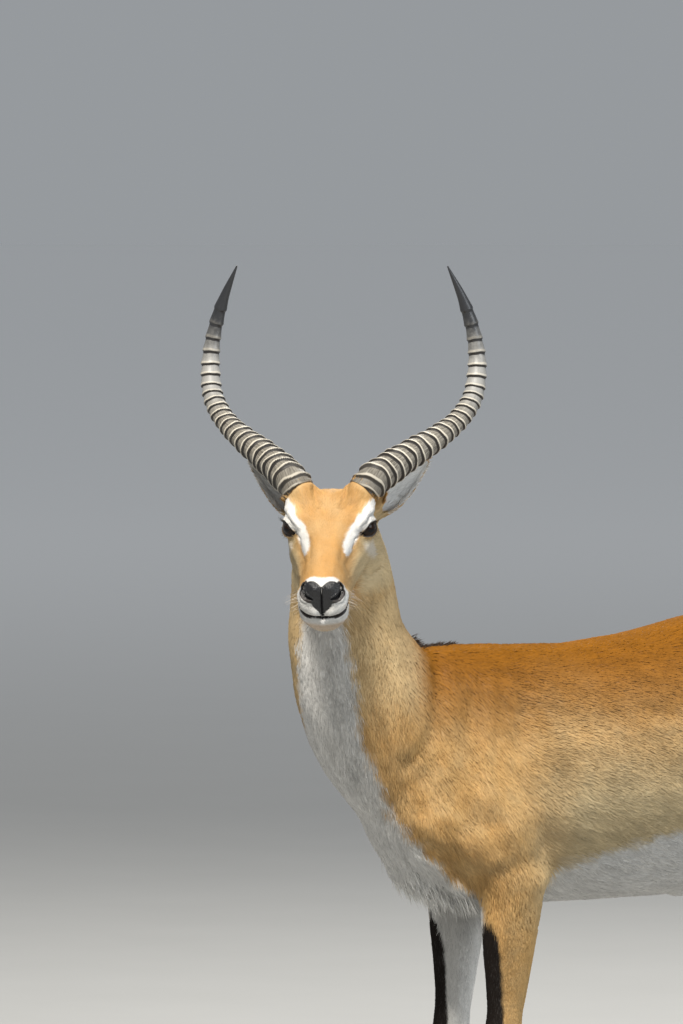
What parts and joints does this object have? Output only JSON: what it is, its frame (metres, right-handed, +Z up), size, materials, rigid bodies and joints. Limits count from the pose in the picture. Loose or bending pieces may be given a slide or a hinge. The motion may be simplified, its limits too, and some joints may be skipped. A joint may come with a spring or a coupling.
{
  "type": "red lechwe antelope",
  "caption": "Life-size standing male red lechwe with ringed lyre-shaped horns and cloven hooves, its head turned to its left; a still museum model.",
  "frame": {"origin": "bottom centre of the whole model's box, on the floor", "axes": "+Z up, +X the animal's left, -Y the way its trunk faces"},
  "size_m": [0.4384, 1.3288, 1.5904],
  "materials": {
    "coat": "short orange-brown hair, white below",
    "leg_coat": "short tan hair with a black stripe down the front",
    "ear": "short tan hair outside, pale hair inside",
    "black_hair": "long black hair",
    "horn": "ringed dark grey horn",
    "hoof": "black horn, satin",
    "eye": "wet dark brown"
  },
  "bodies": {
    "root": {"ear_left": "ear", "ear_right": "ear", "eye_left": "eye", "eye_right": "eye", "foreleg_left": "coat", "foreleg_left_cannon": "leg_coat", "foreleg_left_hoof_inner": "hoof", "foreleg_left_hoof_outer": "hoof", "foreleg_left_pastern": "leg_coat", "foreleg_right": "coat", "foreleg_right_cannon": "leg_coat", "foreleg_right_hoof_inner": "hoof", "foreleg_right_hoof_outer": "hoof", "foreleg_right_pastern": "leg_coat", "head": "coat", "hindleg_left": "coat", "hindleg_left_cannon": "leg_coat", "hindleg_left_hoof_inner": "hoof", "hindleg_left_hoof_outer": "hoof", "hindleg_left_pastern": "leg_coat", "hindleg_right": "coat", "hindleg_right_cannon": "leg_coat", "hindleg_right_hoof_inner": "hoof", "hindleg_right_hoof_outer": "hoof", "hindleg_right_pastern": "leg_coat", "hindquarters": "coat", "horn_left": "horn", "horn_right": "horn", "neck": "coat", "tail": "coat", "tail_tuft": "black_hair", "trunk": "coat"}
  },
  "joints": []
}
